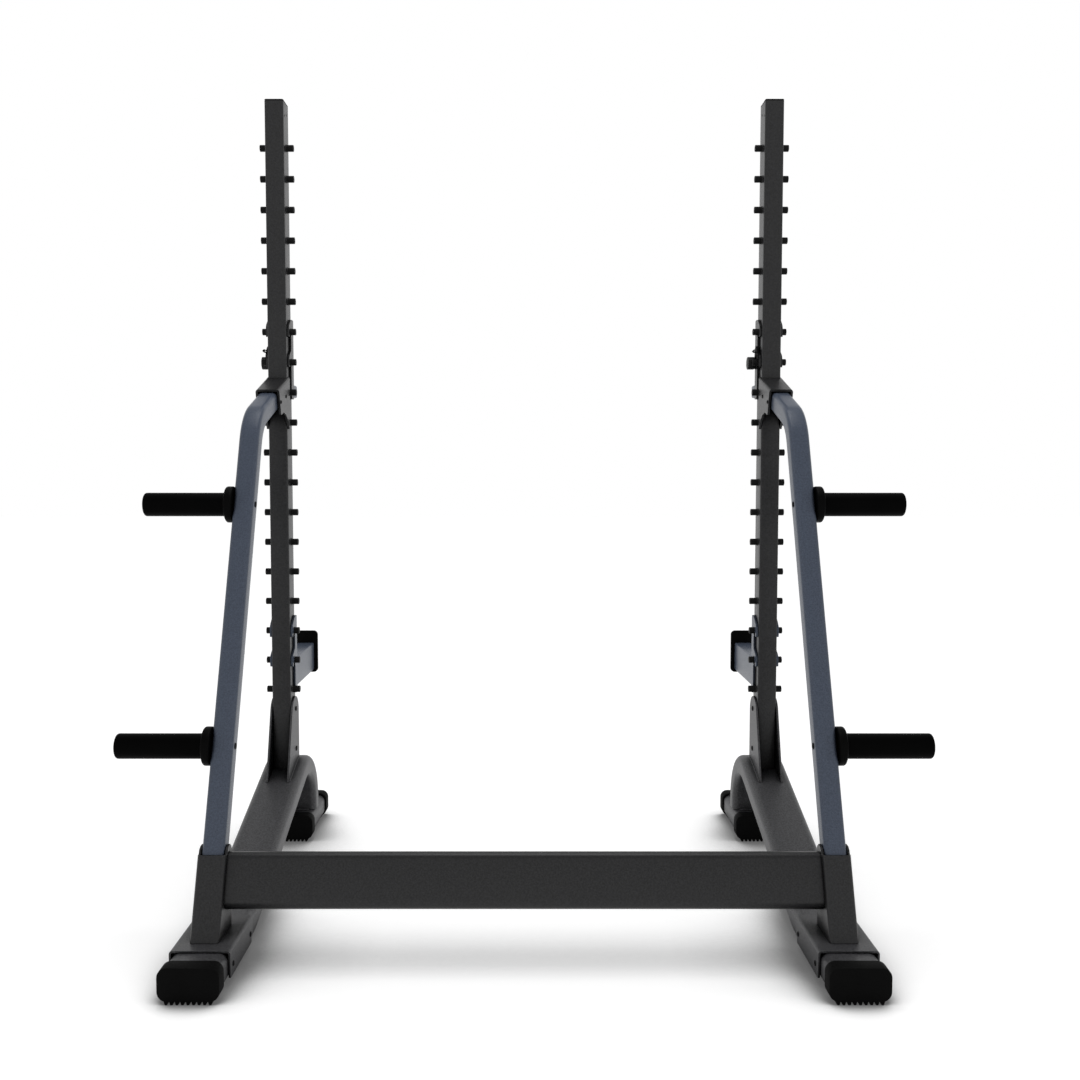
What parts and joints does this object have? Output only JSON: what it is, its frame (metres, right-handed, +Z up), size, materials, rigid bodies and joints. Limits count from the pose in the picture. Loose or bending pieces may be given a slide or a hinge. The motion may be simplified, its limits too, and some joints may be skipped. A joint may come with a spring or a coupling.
{
  "type": "squat rack",
  "caption": "Free-standing squat rack: side frames with peg ladders, braces and plate horns, a low cross beam, hook-on bar catches with finger latches and hook-on spotter arms.",
  "frame": {"origin": "bottom centre of the whole rack: the middle of its footprint, on the floor", "axes": "+X across the rack from the left frame to the right frame as seen from the front, +Y from the front feet to the rear feet, +Z up"},
  "size_m": [1.633, 1.137, 1.84],
  "materials": {
    "black_paint": "satin charcoal powder coat",
    "grey_paint": "satin dark grey powder coat",
    "blue_paint": "satin slate blue powder coat",
    "foot_rubber": "matte",
    "black_plastic": "matte",
    "horn_plastic": "satin",
    "bolt_steel": "blackened"
  },
  "bodies": {
    "frame": {"left_base_rail": "grey_paint", "left_front_foot_cap": "foot_rubber", "left_rear_foot_tube": "grey_paint", "left_rear_foot_cap_near": "foot_rubber", "left_rear_foot_cap_far": "foot_rubber", "left_front_saddle": "grey_paint", "left_brace_socket": "black_paint", "left_brace_tube": "blue_paint", "left_upper_bracket": "black_paint", "left_upright": "black_paint", "left_upright_top_cap": "black_plastic", "left_foot_plate_inner": "grey_paint", "left_foot_plate_outer": "grey_paint", "left_foot_bolt_upper": "bolt_steel", "left_foot_bolt_lower": "bolt_steel", "left_horn_upper": "horn_plastic", "left_horn_upper_collar": "black_plastic", "left_horn_upper_bolt": "bolt_steel", "left_horn_lower": "horn_plastic", "left_horn_lower_collar": "black_plastic", "left_horn_lower_bolt": "bolt_steel", "right_base_rail": "grey_paint", "right_front_foot_cap": "foot_rubber", "right_rear_foot_tube": "grey_paint", "right_rear_foot_cap_near": "foot_rubber", "right_rear_foot_cap_far": "foot_rubber", "right_front_saddle": "grey_paint", "right_brace_socket": "black_paint", "right_brace_tube": "blue_paint", "right_upper_bracket": "black_paint", "right_upright": "black_paint", "right_upright_top_cap": "black_plastic", "right_foot_plate_inner": "grey_paint", "right_foot_plate_outer": "grey_paint", "right_foot_bolt_upper": "bolt_steel", "right_foot_bolt_lower": "bolt_steel", "right_horn_upper": "horn_plastic", "right_horn_upper_collar": "black_plastic", "right_horn_upper_bolt": "bolt_steel", "right_horn_lower": "horn_plastic", "right_horn_lower_collar": "black_plastic", "right_horn_lower_bolt": "bolt_steel", "cross_beam": "black_paint"},
    "left_catch": {"left_catch_bracket": "black_paint", "left_catch_hook": "blue_paint", "left_catch_liner": "black_plastic"},
    "left_latch": {"left_latch_lever": "bolt_steel", "left_latch_knob": "black_plastic"},
    "left_arm": {"left_arm_bracket": "blue_paint", "left_arm_beam": "blue_paint", "left_arm_end_stop": "black_plastic"},
    "right_catch": {"right_catch_bracket": "black_paint", "right_catch_hook": "blue_paint", "right_catch_liner": "black_plastic"},
    "right_latch": {"right_latch_lever": "bolt_steel", "right_latch_knob": "black_plastic"},
    "right_arm": {"right_arm_bracket": "blue_paint", "right_arm_beam": "blue_paint", "right_arm_end_stop": "black_plastic"}
  },
  "joints": [
    {"name": "left_catch_lift", "type": "slide", "parent": "frame", "child": "left_catch", "axis": [0, 0.5, 0.866], "range_m": [0, 0.15]},
    {"name": "left_latch_turn", "type": "hinge", "parent": "left_catch", "child": "left_latch", "pos_m": [-0.63, 0.2975, 1.21663], "axis": [-1, 0, 0], "range_deg": [0, 35], "stiffness_Nm_per_rad": 0.2, "springref_deg": -14.32},
    {"name": "left_arm_lift", "type": "slide", "parent": "frame", "child": "left_arm", "axis": [0, 0.5, 0.866], "range_m": [0, 0.15]},
    {"name": "right_catch_lift", "type": "slide", "parent": "frame", "child": "right_catch", "axis": [0, 0.5, 0.866], "range_m": [0, 0.15]},
    {"name": "right_latch_turn", "type": "hinge", "parent": "right_catch", "child": "right_latch", "pos_m": [0.57, 0.2975, 1.21663], "axis": [-1, 0, 0], "range_deg": [0, 35], "stiffness_Nm_per_rad": 0.2, "springref_deg": -14.32},
    {"name": "right_arm_lift", "type": "slide", "parent": "frame", "child": "right_arm", "axis": [0, 0.5, 0.866], "range_m": [0, 0.15]}
  ]
}
